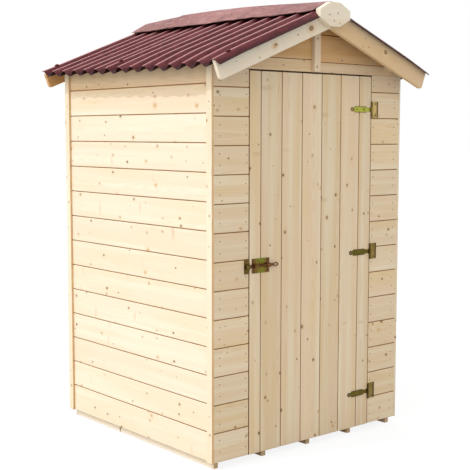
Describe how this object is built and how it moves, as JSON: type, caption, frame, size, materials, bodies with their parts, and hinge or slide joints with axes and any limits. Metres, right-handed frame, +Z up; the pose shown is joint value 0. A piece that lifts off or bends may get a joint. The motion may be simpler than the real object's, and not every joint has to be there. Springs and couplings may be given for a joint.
{
  "type": "small wooden garden shed",
  "caption": "Small boarded garden shed with a ledged door, corner trims, barge boards and a corrugated saddle roof with a felt ridge strip.",
  "frame": {"origin": "on the ground, under the middle of the roof's plan", "axes": "+Z up, the door faces -Y, +X to the right of someone who faces the door"},
  "size_m": [1.3456, 1.4576, 2.086],
  "materials": {
    "softwood": "planed, untreated",
    "bitumen_sheet": "satin, dark red-brown",
    "ridge_felt": "mineral grit, red-brown",
    "zinc_steel": "yellow passivated zinc"
  },
  "bodies": {
    "shed": {"floor_bearers": "softwood", "floor_deck": "softwood", "left_wall": "softwood", "right_wall": "softwood", "front_left_panel": "softwood", "front_right_panel": "softwood", "back_wall": "softwood", "front_gable_left": "softwood", "front_gable_right": "softwood", "back_gable": "softwood", "corner_posts": "softwood", "wall_studs": "softwood", "top_plates": "softwood", "front_left_trim": "softwood", "front_right_trim": "softwood", "back_left_trim": "softwood", "back_right_trim": "softwood", "front_king_post": "softwood", "back_king_post": "softwood", "ridge_beam": "softwood", "eave_purlins": "softwood", "front_left_barge": "softwood", "front_right_barge": "softwood", "back_left_barge": "softwood", "back_right_barge": "softwood", "front_ridge_cap": "softwood", "back_ridge_cap": "softwood", "roof_sheet_left_front": "bitumen_sheet", "roof_sheet_left_back": "bitumen_sheet", "roof_sheet_right_front": "bitumen_sheet", "roof_sheet_right_back": "bitumen_sheet", "ridge_felt_front": "ridge_felt", "ridge_felt_back": "ridge_felt", "hinge_plate_top": "zinc_steel", "hinge_plate_middle": "zinc_steel", "hinge_plate_bottom": "zinc_steel", "bolt_keeper": "zinc_steel"},
    "door": {"door_leaf": "softwood", "door_ledges": "softwood", "door_braces": "softwood", "hinge_strap_top": "zinc_steel", "hinge_strap_middle": "zinc_steel", "hinge_strap_bottom": "zinc_steel", "bolt_plate": "zinc_steel"},
    "bolt": {"bolt_rod": "zinc_steel"}
  },
  "joints": [
    {"name": "door_hinge", "type": "hinge", "parent": "shed", "child": "door", "pos_m": [0.3882, -0.5985, 0.895], "axis": [0, 0, 1], "range_deg": [0, 115]},
    {"name": "bolt_slide", "type": "slide", "parent": "door", "child": "bolt", "axis": [-1, 0, 0], "range_m": [0, 0.016]}
  ]
}
